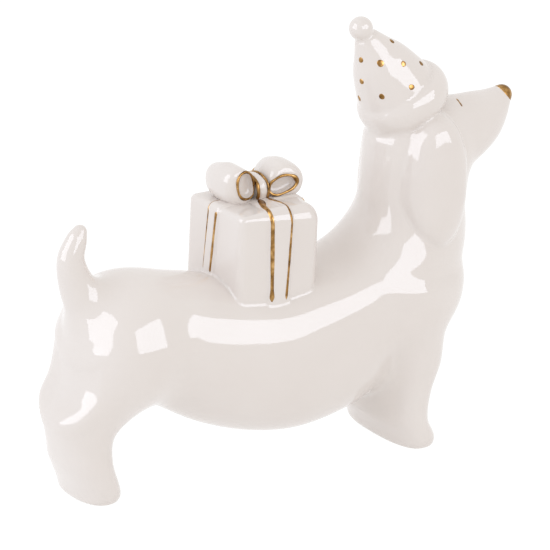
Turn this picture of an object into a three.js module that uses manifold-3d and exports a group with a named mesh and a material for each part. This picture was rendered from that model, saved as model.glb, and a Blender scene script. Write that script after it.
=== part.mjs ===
// Dachshund ornament in glazed earthenware, with a party hat and a gift box on its back.
// The body is one slip casting: torso, neck, head and two merged leg pairs run into each other
// without an edge. Tail, ears, hat, gift box and bow are cast apart and luted on with slip.
// The gold is fired lustre, shown as thin raised trim. Millimetres, +X to the nose, +Z up.
import * as THREE from "three";
import { RoundedBoxGeometry } from "three/addons/geometries/RoundedBoxGeometry.js";
import { mergeVertices } from "three/addons/utils/BufferGeometryUtils.js";
import Module from "manifold-3d";

const wasm = await Module();
wasm.setup();

// Joints and finish
const LUTE_GAP = 0.3;
const SOLE_Z = -1.8;

// Widths over which the forms of the casting run into each other
const LEG_BLEND = 10;
const NECK_BLEND = 16;
const HEAD_BLEND = 6;
// Rounding at the ends of the limbs
const TORSO_ROUND = 14;
const NECK_ROUND = 8;
const FOOT_ROUND = 4;

// Spacing of the grid that the casting's skin is drawn on, and its room round the casting
const BACK_CELL = 5.4;
const NECK_CELL = 4.4;
const LEG_CELL = 3.7;
const HEAD_CELL = 3.3;
const MUZZLE_CELL = 2.4;
const GRID_ROOM = 8;
// Clear of the figure, for what is dropped onto it or cut off below it
const CLEAR_SIDE = 60;
const CLEAR_ABOVE = 140;

// Body: each row is [position along the limb, centre, half depth, half width]
const TORSO_ROWS = [
  [-66, 51.2, 20.2, 22],
  [-50, 49.9, 23.1, 23.5],
  [-35, 44.5, 25.9, 25],
  [-22, 40.1, 26.8, 25.7],
  [-8, 37.2, 27.4, 26],
  [5, 37, 28, 26],
  [20, 39.1, 27.4, 26],
  [38, 44, 26, 25],
];
const NECK_ROWS = [
  [58, 49.3, 19.8, 21.5],
  [72, 51.8, 20.1, 21],
  [80, 53.4, 19, 20.3],
  [87, 54.1, 18.7, 19],
  [95, 54.1, 18, 18],
  [103, 54.3, 17.3, 17.5],
  [112, 54, 16.5, 17],
];
const FORELEG_ROWS = [
  [-2, 46.2, 8.6, 23.4],
  [2, 46.2, 8.7, 23.4],
  [8, 44.2, 8.6, 22.5],
  [18, 45, 9.2, 22.5],
  [28, 47.3, 11.3, 23.2],
  [38, 47.8, 13.8, 23.2],
  [48, 49.1, 17.5, 23.6],
  [60, 49.5, 19.5, 23],
];
const HINDLEG_ROWS = [
  [-2, -72.7, 8.2, 15.2],
  [2, -72.7, 8.3, 15.2],
  [12, -75.7, 8.9, 14.8],
  [20, -75.8, 10.1, 13.8],
  [27, -73.6, 13.3, 15],
  [33, -72.2, 15.8, 17.5],
  [40, -67.8, 14.8, 19],
  [50, -59.6, 16.1, 21],
];
const RUMP = { x: -60.5, z: 51.5, halfLength: 19.3, halfWidth: 23, halfHeight: 20.7 };

// Head: balls strung from the skull to the nose, each row is [x, z, radius]
const NOSE_RADIUS = 3.5;
const MUZZLE_ROWS = [
  [58, 100, 17],
  [66.3, 102, 13.9],
  [73, 103.6, 12.1],
  [79, 105.7, 10.1],
  [84.6, 108.7, 7.1],
  [90.3, 113.1, NOSE_RADIUS],
];
const NOSE_CAP_THICKNESS = 0.4;
const NOSE_CAP_TILT = 42;
const NOSE_CAP_START = 0.2;

// Tail: each row is [x, z, radius]
const TAIL_ROWS = [
  [-70.5, 64, 8.8],
  [-76, 73, 6.2],
  [-78.3, 82, 4.7],
  [-76.3, 88.5, 3.6],
  [-74.8, 91.6, 2.4],
];

// Ears: outline points [x, z] of the flap as seen from the side
const EAR_OUTLINE = [
  [53, 117],
  [46.5, 109],
  [43.6, 98],
  [42.6, 86],
  [46.6, 77],
  [55, 71],
  [62.6, 75],
  [65.8, 88],
  [64.2, 104],
  [59.6, 114],
];
const EAR_THICKNESS = 4.2;
const EAR_ROOT_DEPTH = 2.5;

// Hat: a cone with a fat rolled brim; each cone row is [height over its seat, radius]
// The cone's seat behind and above the middle of the brim, and that behind and above the skull
const HAT_BACK = 3.3;
const HAT_RISE = 4.8;
const BRIM_BACK = 7.6;
const BRIM_RISE = 0.6;
const HAT_TILT = 30.5;
const HAT_ROWS = [
  [-3, 14.9],
  [0, 14.2],
  [5.5, 12.3],
  [12.5, 9.6],
  [17.6, 6.9],
  [24, 3.6],
];
const BRIM_TILT = 28;
const BRIM_RADIUS = 13.2;
const BRIM_BULGE = 3.4;
const BRIM_HEIGHT = 8.8;
const POMPOM_RADIUS = 4.1;
// How much of its radius the pompom's middle stands over the tip of the cone
const POMPOM_RISE = 0.65;

// Lustre dots on the cone, each [turn round the cone, height up it]
const DOT_RADIUS = 1.15;
const DOT_THICKNESS = 0.4;
const DOTS = [
  [-110, 15.7],
  [-163, 18.2],
  [-31, 17.2],
  [-70, 11.1],
  [-36, 5.2],
  [-168, 11.6],
  [-135, 5.9],
  [173, 4.8],
  [-86, 3.8],
  [18, 9.6],
  [58, 15.6],
  [60, 4.6],
  [98, 10.4],
  [118, 17.4],
  [136, 4.2],
  [150, 11],
];

// Gift box, leaning a little, with a ribbon each way
const BOX_SIDE = 33.5;
const BOX_TOP = 91.9;
const BOX_SEAT = 52;
const BOX_ROUND = 3.8;
const BOX_X = -7.5;
const BOX_LEAN = 0.05;
const RIBBON_WIDTH = 8.1;
const RIBBON_THICKNESS = 0.7;
const RIBBON_X = -7;
const RIBBON_Y = -0.7;
const REAR_RIBBON_LEAN = 4.5;
const LUSTRE_WIDTH = 1.1;
const LUSTRE_THICKNESS = 0.9;

// Bow: outlines [x, z] of each loop from the middle of the knot on the box top, first at its open
// ends and then where it is puffed fullest
const BOW_X = -6.8;
const BOW_NEAR_Y = -4.5;
const BOW_WIDTH = 18;
const BOW_PINCH = 0.4;
const PINCH_LENGTH = 4;
const FAR_SHRINK = 0.2;
const LOOPS = {
  rear: {
    foot: [-13, 3],
    eye: [
      [-10.1, 8.1],
      [-9.2, 10.4],
      [-7.2, 11.4],
      [-5.2, 10.6],
      [-3.6, 8.2],
      [-3.2, 5.1],
      [-3.6, 2.8],
      [-5.2, 1.9],
      [-7.8, 2.2],
      [-9.4, 4],
    ],
    full: [
      [-14.6, 7.6],
      [-13.3, 11],
      [-10, 13],
      [-6.6, 12.2],
      [-3.4, 9.4],
      [-2.9, 5.5],
      [-3, 2.2],
      [-5.4, -0.6],
      [-9.6, -0.8],
      [-12.8, 2.4],
    ],
  },
  front: {
    foot: [15, 3],
    eye: [
      [3.2, 6.2],
      [4.9, 8],
      [7.2, 8.7],
      [9.8, 8.4],
      [11.8, 7.3],
      [12.7, 5],
      [11.6, 3.2],
      [8.4, 2.1],
      [5, 1.8],
      [3.2, 3],
    ],
    full: [
      [2.9, 6.4],
      [4.6, 9.8],
      [8, 12],
      [12.8, 11],
      [16.2, 8.2],
      [17.1, 4.2],
      [15.2, 0],
      [10, -0.8],
      [5, -0.6],
      [3, 2],
    ],
  },
};
const EYE_DEPTH = 1.2;
const KNOT_WIDTH = 2.5;
const KNOT_HEIGHT = 9.4;
const KNOT_NEAR_Y = -4.3;
const KNOT_FAR_Y = 11;
const KNOT_TUCK = 1.2;
const KNOT_SHOULDER = 1.6;
const KNOT_BEVEL = 0.5;
const LINE_RADIUS = 0.45;

// Lashes of the closed eyes: end points [x, y] as seen from above
const LASH_START = [70.2, 2.8];
const LASH_END = [69.8, 7.2];
const LASH_RADIUS = 0.4;

const WHITE_GLAZE = { color: 0xe9e3de, roughness: 0.12, metalness: 0 };
const GOLD_LUSTRE = { color: 0xb08a4a, roughness: 0.3, metalness: 1 };

const radians = THREE.MathUtils.degToRad;
const point = (x, y, z) => new THREE.Vector3(x, y, z);

// Smooth values through rows whose first number is the position along the limb
function through(rows) {
  const at = rows.map((row) => row[0]);
  const last = rows.length - 1;
  const slope = rows.map((row, i) => {
    const before = rows[Math.max(i - 1, 0)];
    const after = rows[Math.min(i + 1, last)];
    return row.map((_, c) => (after[c] - before[c]) / (after[0] - before[0]));
  });
  return (position) => {
    const s = Math.min(Math.max(position, at[0]), at[last]);
    let i = 0;
    while (i < last - 1 && at[i + 1] < s) i += 1;
    const span = at[i + 1] - at[i];
    const u = (s - at[i]) / span;
    const v = 1 - u;
    return rows[i].slice(1).map((value, c) => {
      const start = value + u * (2 * value + span * slope[i][c + 1]);
      const next = rows[i + 1][c + 1];
      const end = next + v * (2 * next - span * slope[i + 1][c + 1]);
      return v * v * start + u * u * end;
    });
  };
}

// Union and intersection of two distances with a rounded seam of the given width
function blend(a, b, width) {
  const h = Math.max(width - Math.abs(a - b), 0) / width;
  return Math.min(a, b) - (h * h * width) / 4;
}
const cutBack = (a, b, width) => -blend(-a, -b, width);

// Distance to a superellipse with half axes a and b
function oval(u, v, a, b, power) {
  const pu = Math.abs(u) / a + 1e-9;
  const pv = Math.abs(v) / b + 1e-9;
  const k = (pu ** power + pv ** power) ** (1 / power);
  const gradient = Math.hypot(pu ** (power - 1) / a, pv ** (power - 1) / b) / k ** (power - 1);
  return (k - 1) / gradient;
}

// A limb of oval sections: along it, across it in the side view, and across it in width
function limb(rows, power, capRound) {
  const section = through(rows);
  const low = rows[0][0];
  const high = rows[rows.length - 1][0];
  return (along, across, wide) => {
    const [centre, halfDepth, halfWidth] = section(along);
    const side = oval(across - centre, wide, halfDepth, halfWidth, power);
    return cutBack(side, Math.max(low - along, along - high), capRound);
  };
}

// Balls strung along a smooth line in the middle plane
function strungBalls(rows, count) {
  const station = through(rows.map((row, i) => [i, ...row]));
  const balls = [];
  for (let i = 0; i < count; i += 1) balls.push(station(((rows.length - 1) * i) / (count - 1)));
  return balls;
}

const torso = limb(TORSO_ROWS, 2, TORSO_ROUND);
const neck = limb(NECK_ROWS, 2, NECK_ROUND);
const forelegs = limb(FORELEG_ROWS, 2.5, FOOT_ROUND);
const hindlegs = limb(HINDLEG_ROWS, 2.3, FOOT_ROUND);
const muzzle = strungBalls(MUZZLE_ROWS, 24);

function rump(x, y, z) {
  const ux = (x - RUMP.x) / RUMP.halfLength;
  const uy = y / RUMP.halfWidth;
  const uz = (z - RUMP.z) / RUMP.halfHeight;
  const k = Math.hypot(ux, uy, uz) + 1e-9;
  const g = Math.hypot(ux / RUMP.halfLength, uy / RUMP.halfWidth, uz / RUMP.halfHeight) + 1e-9;
  return (k * (k - 1)) / g;
}

// The clay: negative inside the body casting, about the distance in millimetres outside it
function clay(x, y, z) {
  let d = blend(torso(x, z, y), rump(x, y, z), LEG_BLEND);
  d = blend(d, neck(z, x, y), NECK_BLEND);
  d = blend(d, forelegs(z, x, y), LEG_BLEND);
  d = blend(d, hindlegs(z, x, y), LEG_BLEND);
  let head = Infinity;
  for (const [bx, bz, r] of muzzle) head = Math.min(head, Math.hypot(x - bx, y, z - bz) - r);
  return blend(d, head, HEAD_BLEND);
}

function slopeOf(field, x, y, z) {
  const e = 0.05;
  return point(
    field(x + e, y, z) - field(x - e, y, z),
    field(x, y + e, z) - field(x, y - e, z),
    field(x, y, z + e) - field(x, y, z - e),
  ).divideScalar(2 * e);
}

// Grid planes along one axis, from its start through each stretch of [end, spacing]
function planes(start, parts) {
  const out = [start];
  for (const [end, spacing] of parts) {
    const from = out.at(-1);
    const count = Math.ceil((end - from) / spacing);
    for (let i = 1; i <= count; i += 1) out.push(from + ((end - from) * i) / count);
  }
  return out;
}

// Skin of a field: one corner for each grid cell that the surface crosses, drawn onto the surface,
// and four cells joined round each grid edge that it crosses
function skinOf(field, grid) {
  const count = grid.map((axis) => axis.length);
  const step = [count[1] * count[2], count[2], 1];
  const place = (a, i) => grid[a][i];
  const value = new Float64Array(count[0] * count[1] * count[2]);
  for (let i = 0; i < count[0]; i += 1)
    for (let j = 0; j < count[1]; j += 1)
      for (let k = 0; k < count[2]; k += 1)
        value[i * step[0] + j * step[1] + k] = field(place(0, i), place(1, j), place(2, k));
  const sums = new Map();
  const crossings = [];
  for (let i = 1; i < count[0] - 1; i += 1)
    for (let j = 1; j < count[1] - 1; j += 1)
      for (let k = 1; k < count[2] - 1; k += 1)
        for (let axis = 0; axis < 3; axis += 1) {
          const node = i * step[0] + j * step[1] + k;
          const here = value[node];
          const there = value[node + step[axis]];
          if (here < 0 === there < 0) continue;
          const hit = [place(0, i), place(1, j), place(2, k)];
          const index = [i, j, k][axis];
          hit[axis] += ((place(axis, index + 1) - hit[axis]) * here) / (here - there);
          const u = step[(axis + 1) % 3];
          const v = step[(axis + 2) % 3];
          const cells = [node - u - v, node - v, node, node - u];
          crossings.push(here < 0 ? cells : cells.reverse());
          for (const c of cells) {
            const sum = sums.get(c) ?? [0, 0, 0, 0];
            sums.set(c, [sum[0] + hit[0], sum[1] + hit[1], sum[2] + hit[2], sum[3] + 1]);
          }
        }
  const corners = [];
  const number = new Map();
  for (const [c, [sx, sy, sz, n]] of sums) {
    const corner = point(sx / n, sy / n, sz / n);
    for (let pass = 0; pass < 2; pass += 1) {
      const slope = slopeOf(field, corner.x, corner.y, corner.z);
      corner.addScaledVector(slope, -field(corner.x, corner.y, corner.z) / slope.lengthSq());
    }
    number.set(c, corners.length);
    corners.push(corner);
  }
  const faces = [];
  for (const cells of crossings) {
    const [a, b, c, d] = cells.map((cellNumber) => number.get(cellNumber));
    if (corners[a].distanceTo(corners[c]) < corners[b].distanceTo(corners[d]))
      faces.push(a, b, c, a, c, d);
    else faces.push(a, b, d, b, c, d);
  }
  return meshOf(corners, faces);
}

function meshOf(corners, faces) {
  const geometry = new THREE.BufferGeometry().setFromPoints(corners);
  geometry.setIndex(faces);
  return geometry;
}

function solidOf(geometry) {
  const bare = geometry.clone();
  bare.deleteAttribute("normal");
  bare.deleteAttribute("uv");
  const merged = mergeVertices(bare, 1e-4);
  const vertProperties = new Float32Array(merged.attributes.position.array);
  const triVerts = new Uint32Array(merged.index.array);
  const made = new wasm.Manifold(new wasm.Mesh({ numProp: 3, vertProperties, triVerts }));
  if (made.volume() > 0) return made;
  return new wasm.Manifold(
    new wasm.Mesh({ numProp: 3, vertProperties, triVerts: triVerts.slice().reverse() }),
  );
}

function geometryOf(solid) {
  const mesh = solid.getMesh();
  const geometry = new THREE.BufferGeometry();
  geometry.setAttribute("position", new THREE.BufferAttribute(mesh.vertProperties, 3));
  geometry.setIndex(new THREE.BufferAttribute(mesh.triVerts, 1));
  return geometry;
}

// The same skin moved outwards by the joint gap, to cut what is luted onto it
function grown(geometry, gap) {
  const out = geometry.clone();
  out.computeVertexNormals();
  const position = out.attributes.position;
  for (let i = 0; i < position.count; i += 1) {
    const normal = point().fromBufferAttribute(out.attributes.normal, i);
    const moved = point().fromBufferAttribute(position, i).addScaledVector(normal, gap);
    position.setXYZ(i, moved.x, moved.y, moved.z);
  }
  return solidOf(out);
}

// The largest piece that a cut leaves
function largest(solid) {
  return solid.decompose().reduce((best, s) => (s.volume() > best.volume() ? s : best));
}

// A closed skin over rings of equally many points, with both ends closed round a middle point
function overRings(rings) {
  const sides = rings[0].length;
  const corners = rings.flat();
  const faces = [];
  for (let i = 0; i + 1 < rings.length; i += 1)
    for (let j = 0; j < sides; j += 1) {
      const a = i * sides + j;
      const b = i * sides + ((j + 1) % sides);
      faces.push(a, b, b + sides, a, b + sides, a + sides);
    }
  for (const [ring, start] of [[rings[0], 0], [rings.at(-1), (rings.length - 1) * sides]]) {
    const middle = ring.reduce((sum, p) => sum.add(p), point()).divideScalar(sides);
    corners.push(middle);
    for (let j = 0; j < sides; j += 1) {
      const edge = [start + j, start + ((j + 1) % sides)];
      if (start === 0) edge.reverse();
      faces.push(edge[0], edge[1], corners.length - 1);
    }
  }
  return meshOf(corners, faces);
}

// A round line of glaze or lustre along points; a closed one joins its last ring to its first
function roundLine(points, radius, sides, closed) {
  const path = new THREE.CatmullRomCurve3(points, closed);
  const steps = points.length * 2;
  const frames = path.computeFrenetFrames(steps, closed);
  const rings = [];
  for (let i = 0; i <= steps; i += 1) {
    const centre = path.getPoint(i / steps);
    const ring = [];
    for (let j = 0; j < sides; j += 1) {
      const turn = (2 * Math.PI * j) / sides;
      ring.push(
        centre
          .clone()
          .addScaledVector(frames.normals[i], radius * Math.cos(turn))
          .addScaledVector(frames.binormals[i], radius * Math.sin(turn)),
      );
    }
    rings.push(ring);
  }
  if (!closed) return overRings(rings);
  rings.pop();
  const faces = [];
  for (let i = 0; i < rings.length; i += 1)
    for (let j = 0; j < sides; j += 1) {
      const next = (i + 1) % rings.length;
      const a = i * sides + j;
      const b = i * sides + ((j + 1) % sides);
      const c = next * sides + ((j + 1) % sides);
      const d = next * sides + j;
      faces.push(a, b, c, a, c, d);
    }
  return meshOf(rings.flat(), faces);
}

// Where a straight line from outside first meets a field's skin
function meet(field, start, direction, reach) {
  let near = 0;
  let far = 0;
  const on = (t) => field(...start.clone().addScaledVector(direction, t).toArray());
  while (far < reach && on(far) > 0) {
    near = far;
    far += 0.5;
  }
  for (let pass = 0; pass < 20; pass += 1) {
    const middle = (near + far) / 2;
    if (on(middle) > 0) near = middle;
    else far = middle;
  }
  return start.clone().addScaledVector(direction, far);
}

function placed(geometry, position, turn) {
  const matrix = new THREE.Matrix4().makeRotationFromEuler(turn ?? new THREE.Euler());
  matrix.setPosition(position);
  return geometry.clone().applyMatrix4(matrix);
}

const [skullX, skullZ, skullRadius] = MUZZLE_ROWS[0];

// Grid round the whole casting, finer towards the legs and the muzzle
function bodyGrid() {
  const hock = Math.min(...HINDLEG_ROWS.map(([, centre, halfDepth]) => centre - halfDepth));
  const chest = TORSO_ROWS.at(-1)[0];
  const nose = MUZZLE_ROWS.at(-1)[0] + NOSE_RADIUS;
  const flank = Math.max(...TORSO_ROWS.map((row) => row[3])) + GRID_ROOM;
  const thigh = HINDLEG_ROWS.at(-2)[0];
  const along = [
    [RUMP.x, LEG_CELL],
    [chest, BACK_CELL],
    [skullX + skullRadius, NECK_CELL],
    [nose + GRID_ROOM, MUZZLE_CELL],
  ];
  const up = [
    [thigh, LEG_CELL],
    [skullZ, NECK_CELL],
    [skullZ + skullRadius + GRID_ROOM, HEAD_CELL],
  ];
  return [
    planes(hock - GRID_ROOM, along),
    planes(-flank, [[flank, NECK_CELL]]),
    planes(SOLE_Z - GRID_ROOM, up),
  ];
}

// Body casting, cut flat on the soles
function makeBody() {
  const skin = skinOf(clay, bodyGrid());
  const side = 4 * CLEAR_ABOVE;
  const floor = new THREE.BoxGeometry(side, side, side);
  const below = solidOf(placed(floor, point(0, 0, SOLE_Z - side / 2)));
  return { solid: solidOf(skin).subtract(below), grown: grown(skin, LUTE_GAP) };
}

// Tail: round sections along a curve that leans back and up, rounded at the tip
function makeTail(body) {
  const station = through(TAIL_ROWS.map((row, i) => [i, ...row]));
  const steps = 12;
  const sides = 14;
  const rings = [];
  const last = TAIL_ROWS.length - 1;
  for (let i = 0; i <= steps; i += 1) {
    const s = (last * i) / steps;
    const [x, z, r] = station(s);
    const [ax, az] = station(Math.min(s + 0.05, last));
    const [bx, bz] = station(Math.max(s - 0.05, 0));
    const along = point(ax - bx, 0, az - bz).normalize();
    rings.push({ centre: point(x, 0, z), along, r });
  }
  const tip = rings.at(-1);
  for (const lift of [0.45, 0.8, 0.98])
    rings.push({
      centre: tip.centre.clone().addScaledVector(tip.along, tip.r * lift),
      along: tip.along,
      r: tip.r * Math.sqrt(1 - lift * lift),
    });
  const skin = overRings(
    rings.map(({ centre, along, r }) => {
      const side = point(along.z, 0, -along.x);
      return Array.from({ length: sides }, (_, j) => {
        const turn = (2 * Math.PI * j) / sides;
        return centre
          .clone()
          .addScaledVector(side, r * Math.cos(turn))
          .add(point(0, r * Math.sin(turn), 0));
      });
    }),
  );
  return largest(solidOf(skin).subtract(body.grown));
}

// Ear: a flap laid on the side of the head and neck, domed over its outline and rooted in the skin
function makeEar(body, side) {
  const outline = new THREE.CatmullRomCurve3(
    EAR_OUTLINE.map(([x, z]) => point(x, 0, z)),
    true,
  ).getPoints(28);
  outline.pop();
  const middle = outline.reduce((sum, p) => sum.add(p), point()).divideScalar(outline.length);
  const ringAt = (share, height) =>
    outline.map((edge) => {
      const p = middle.clone().lerp(edge, share);
      const skin = meet(clay, point(p.x, side * CLEAR_SIDE, p.z), point(0, -side, 0), CLEAR_SIDE);
      return point(p.x, skin.y + side * height, p.z);
    });
  const rings = [];
  for (const share of [0.25, 0.5, 0.72, 0.88, 0.97, 1])
    rings.push(ringAt(share, EAR_THICKNESS * Math.sqrt(1 - share ** 3)));
  rings.push(ringAt(0.94, -EAR_ROOT_DEPTH));
  rings.push(ringAt(0.5, -EAR_ROOT_DEPTH));
  const flap = solidOf(overRings(rings));
  return largest(flap.subtract(body.grown).subtract(brimRoll(LUTE_GAP)));
}

// A shape with its axis along +Y, stood on a seat and leant back
const leant = (geometry, seat, lean) =>
  placed(geometry.rotateX(Math.PI / 2), seat, new THREE.Euler(0, -radians(lean), 0));
const brimSeat = point(skullX - BRIM_BACK, 0, skullZ + skullRadius + BRIM_RISE);
const hatSeat = brimSeat.clone().add(point(-HAT_BACK, 0, HAT_RISE));
const hatRadius = through(HAT_ROWS);

function makeHatCone(body) {
  const low = HAT_ROWS[0][0];
  const high = HAT_ROWS.at(-1)[0];
  const steps = 9;
  const profile = [new THREE.Vector2(0, low)];
  for (let i = 0; i <= steps; i += 1) {
    const height = low + ((high - low) * i) / steps;
    profile.push(new THREE.Vector2(hatRadius(height)[0], height));
  }
  profile.push(new THREE.Vector2(0, high));
  const cone = solidOf(leant(new THREE.LatheGeometry(profile, 32), hatSeat, HAT_TILT));
  return largest(cone.subtract(brimRoll(LUTE_GAP)).subtract(body.grown));
}

// Brim: a fat roll round the head under the cone; extra is a skin added all round
function brimRoll(extra) {
  const half = BRIM_HEIGHT / 2 + extra;
  const profile = [new THREE.Vector2(0, -half)];
  const steps = 9;
  for (let i = 0; i <= steps; i += 1) {
    const turn = -Math.PI / 2 + (Math.PI * i) / steps;
    const radius = BRIM_RADIUS + (BRIM_BULGE + extra) * Math.cos(turn);
    profile.push(new THREE.Vector2(radius, half * Math.sin(turn)));
  }
  profile.push(new THREE.Vector2(0, half));
  return solidOf(leant(new THREE.LatheGeometry(profile, 36), brimSeat, BRIM_TILT));
}

// Pompom: a ball cut flat where it sits on the blunt tip of the cone
function makePompom() {
  const tip = HAT_ROWS.at(-1)[0];
  const seat = tip + LUTE_GAP;
  const side = 4 * POMPOM_RADIUS;
  const ball = new THREE.SphereGeometry(POMPOM_RADIUS, 16, 12);
  ball.translate(0, tip + POMPOM_RISE * POMPOM_RADIUS, 0);
  const below = new THREE.BoxGeometry(side, side, side).translate(0, seat - side / 2, 0);
  const [kept, cut] = [ball, below].map((shape) => solidOf(leant(shape, hatSeat, HAT_TILT)));
  return kept.subtract(cut);
}

// Lustre dots: flat domes on the skin of the cone
function makeHatDots() {
  const profile = [
    [0, 0],
    [DOT_RADIUS, 0],
    [DOT_RADIUS * 0.85, DOT_THICKNESS * 0.8],
    [0, DOT_THICKNESS],
  ].map(([r, h]) => new THREE.Vector2(r, h));
  return DOTS.map(([turn, height]) => {
    const [radius] = hatRadius(height);
    const flare = Math.atan2(hatRadius(height - 0.5)[0] - hatRadius(height + 0.5)[0], 1);
    const disc = new THREE.LatheGeometry(profile, 10).rotateZ(flare - Math.PI / 2);
    disc.translate(radius + LUTE_GAP / Math.cos(flare), height, 0).rotateY(radians(turn));
    return solidOf(leant(disc, hatSeat, HAT_TILT));
  });
}

// Gift box, seated in the saddle of the back
const boxHeight = BOX_TOP - BOX_SEAT;
const leantFromTop = (shape) => {
  const lean = new THREE.Matrix4().makeShear(0, 0, 0, 0, BOX_LEAN, 0);
  return solidOf(shape.applyMatrix4(lean).translate(0, 0, BOX_TOP));
};
function boxShape(extra) {
  const side = BOX_SIDE + 2 * extra;
  const tall = boxHeight + 2 * extra;
  const shape = new RoundedBoxGeometry(side, side, tall, 3, BOX_ROUND + extra);
  return leantFromTop(shape.translate(BOX_X, 0, -boxHeight / 2));
}

// Band over the box between two offsets of its skin, from its middle to one face
function bandPart(inner, outer, from, to, width, lean) {
  const shell = boxShape(outer).subtract(boxShape(inner));
  const length = Math.hypot(to.x - from.x, to.y - from.y);
  const slab = new THREE.BoxGeometry(length, width, 2 * boxHeight);
  slab.translate(length / 2, 0, 0).rotateX(radians(lean));
  slab.rotateZ(Math.atan2(to.y - from.y, to.x - from.x));
  return shell.intersect(leantFromTop(slab.translate(from.x, from.y, 0)));
}

// One section of a bow loop, from its open end (puff 0) to its fullest part (puff 1), pinched
// towards the knot and smaller on the far side; across runs from -1 (near) to 1 (far)
const bowMiddleY = BOW_NEAR_Y + BOW_WIDTH / 2;
function loopRing({ foot, eye, full }, puff, across) {
  const outline = eye.map(([x, z], i) => point(x, 0, z).lerp(point(full[i][0], 0, full[i][1]), puff));
  const ring = new THREE.CatmullRomCurve3(outline, true).getPoints(20);
  ring.pop();
  const low = point(foot[0], 0, foot[1]);
  const size = 1 - FAR_SHRINK * Math.max(across, 0);
  return ring.map((p) => {
    const { x, z } = p.sub(low).multiplyScalar(size).add(low);
    const half = (BOW_WIDTH / 2) * (1 - BOW_PINCH * Math.exp(-Math.abs(x) / PINCH_LENGTH));
    return point(BOW_X + x, bowMiddleY + across * half, BOX_TOP + z);
  });
}

// The same ring drawn in towards its middle and moved across the bow, for the floor of the eye
function sunkRing(ring, share, move) {
  const middle = ring.reduce((sum, p) => sum.add(p), point()).divideScalar(ring.length);
  return ring.map((p) => middle.clone().lerp(p, share).add(point(0, move, 0)));
}

function makeLoop(loop) {
  const side = [
    [0, 1],
    [0.4, 0.96],
    [0.78, 0.8],
    [0.95, 0.45],
  ];
  const rings = side.map(([puff, across]) => loopRing(loop, puff, -across));
  rings.push(loopRing(loop, 1, 0));
  rings.push(...side.toReversed().map(([puff, across]) => loopRing(loop, puff, across)));
  rings.unshift(sunkRing(rings[0], 0.8, EYE_DEPTH));
  rings.push(sunkRing(rings.at(-1), 0.8, -EYE_DEPTH));
  return solidOf(overRings(rings)).subtract(boxShape(LUTE_GAP));
}

// The lustre line round the eye of a loop, on its near (-1) or far (1) side
function makeEyeLine(loop, side) {
  const ring = loopRing(loop, 0.05, side).filter((_, i) => i % 2 === 0);
  const out = point(0, side * (LUTE_GAP + LINE_RADIUS), 0);
  return solidOf(roundLine(ring.map((p) => p.add(out)), LINE_RADIUS, 6, true));
}

// Knot: the ribbon drawn over the waist of the bow, from the near foot to the far foot
function knotArch(extra) {
  const near = KNOT_NEAR_Y;
  const far = KNOT_FAR_Y;
  const top = (near + far) / 2;
  const shape = [
    [near + KNOT_TUCK, 0],
    [near, 0.42],
    [near + KNOT_SHOULDER, 0.84],
    [top, 1],
    [far - KNOT_SHOULDER, 0.84],
    [far, 0.42],
    [far - KNOT_TUCK, 0],
  ];
  return shape.map(([y, share]) => {
    const out = extra * Math.sign(y - top);
    return point(0, y + out, BOX_TOP + share * KNOT_HEIGHT + extra);
  });
}

function makeKnot() {
  const arch = new THREE.CatmullRomCurve3(knotArch(0)).getPoints(18);
  const outline = arch.map((p) => new THREE.Vector2(p.y, p.z));
  const depth = KNOT_WIDTH - 2 * KNOT_BEVEL;
  const block = new THREE.ExtrudeGeometry(new THREE.Shape(outline), {
    depth,
    bevelThickness: KNOT_BEVEL,
    bevelSize: KNOT_BEVEL,
    bevelOffset: -KNOT_BEVEL,
    bevelSegments: 2,
  });
  block.translate(0, 0, -depth / 2);
  const toWidth = new THREE.Matrix4().makeBasis(point(0, 1, 0), point(0, 0, 1), point(1, 0, 0));
  block.applyMatrix4(toWidth);
  return solidOf(placed(block, point(BOW_X, 0, 0))).subtract(boxShape(LUTE_GAP));
}

function makeKnotLine(side) {
  const x = BOW_X + side * (KNOT_WIDTH / 2 + LUTE_GAP + LINE_RADIUS);
  const points = knotArch(-LINE_RADIUS).map((p) => p.setX(x));
  return solidOf(roundLine(points, LINE_RADIUS, 6, false)).subtract(boxShape(LUTE_GAP));
}

function makeBow() {
  const pieces = [["bow_knot", "glaze", makeKnot()]];
  for (const [name, loop] of Object.entries(LOOPS)) {
    pieces.push([`bow_loop_${name}`, "glaze", largest(makeLoop(loop))]);
    for (const [face, side] of [["near", -1], ["far", 1]])
      pieces.push([`lustre_loop_${name}_${face}`, "lustre", largest(makeEyeLine(loop, side))]);
  }
  for (const [name, side] of [["rear", -1], ["front", 1]])
    pieces.push([`lustre_knot_${name}`, "lustre", largest(makeKnotLine(side))]);
  return pieces;
}

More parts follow.
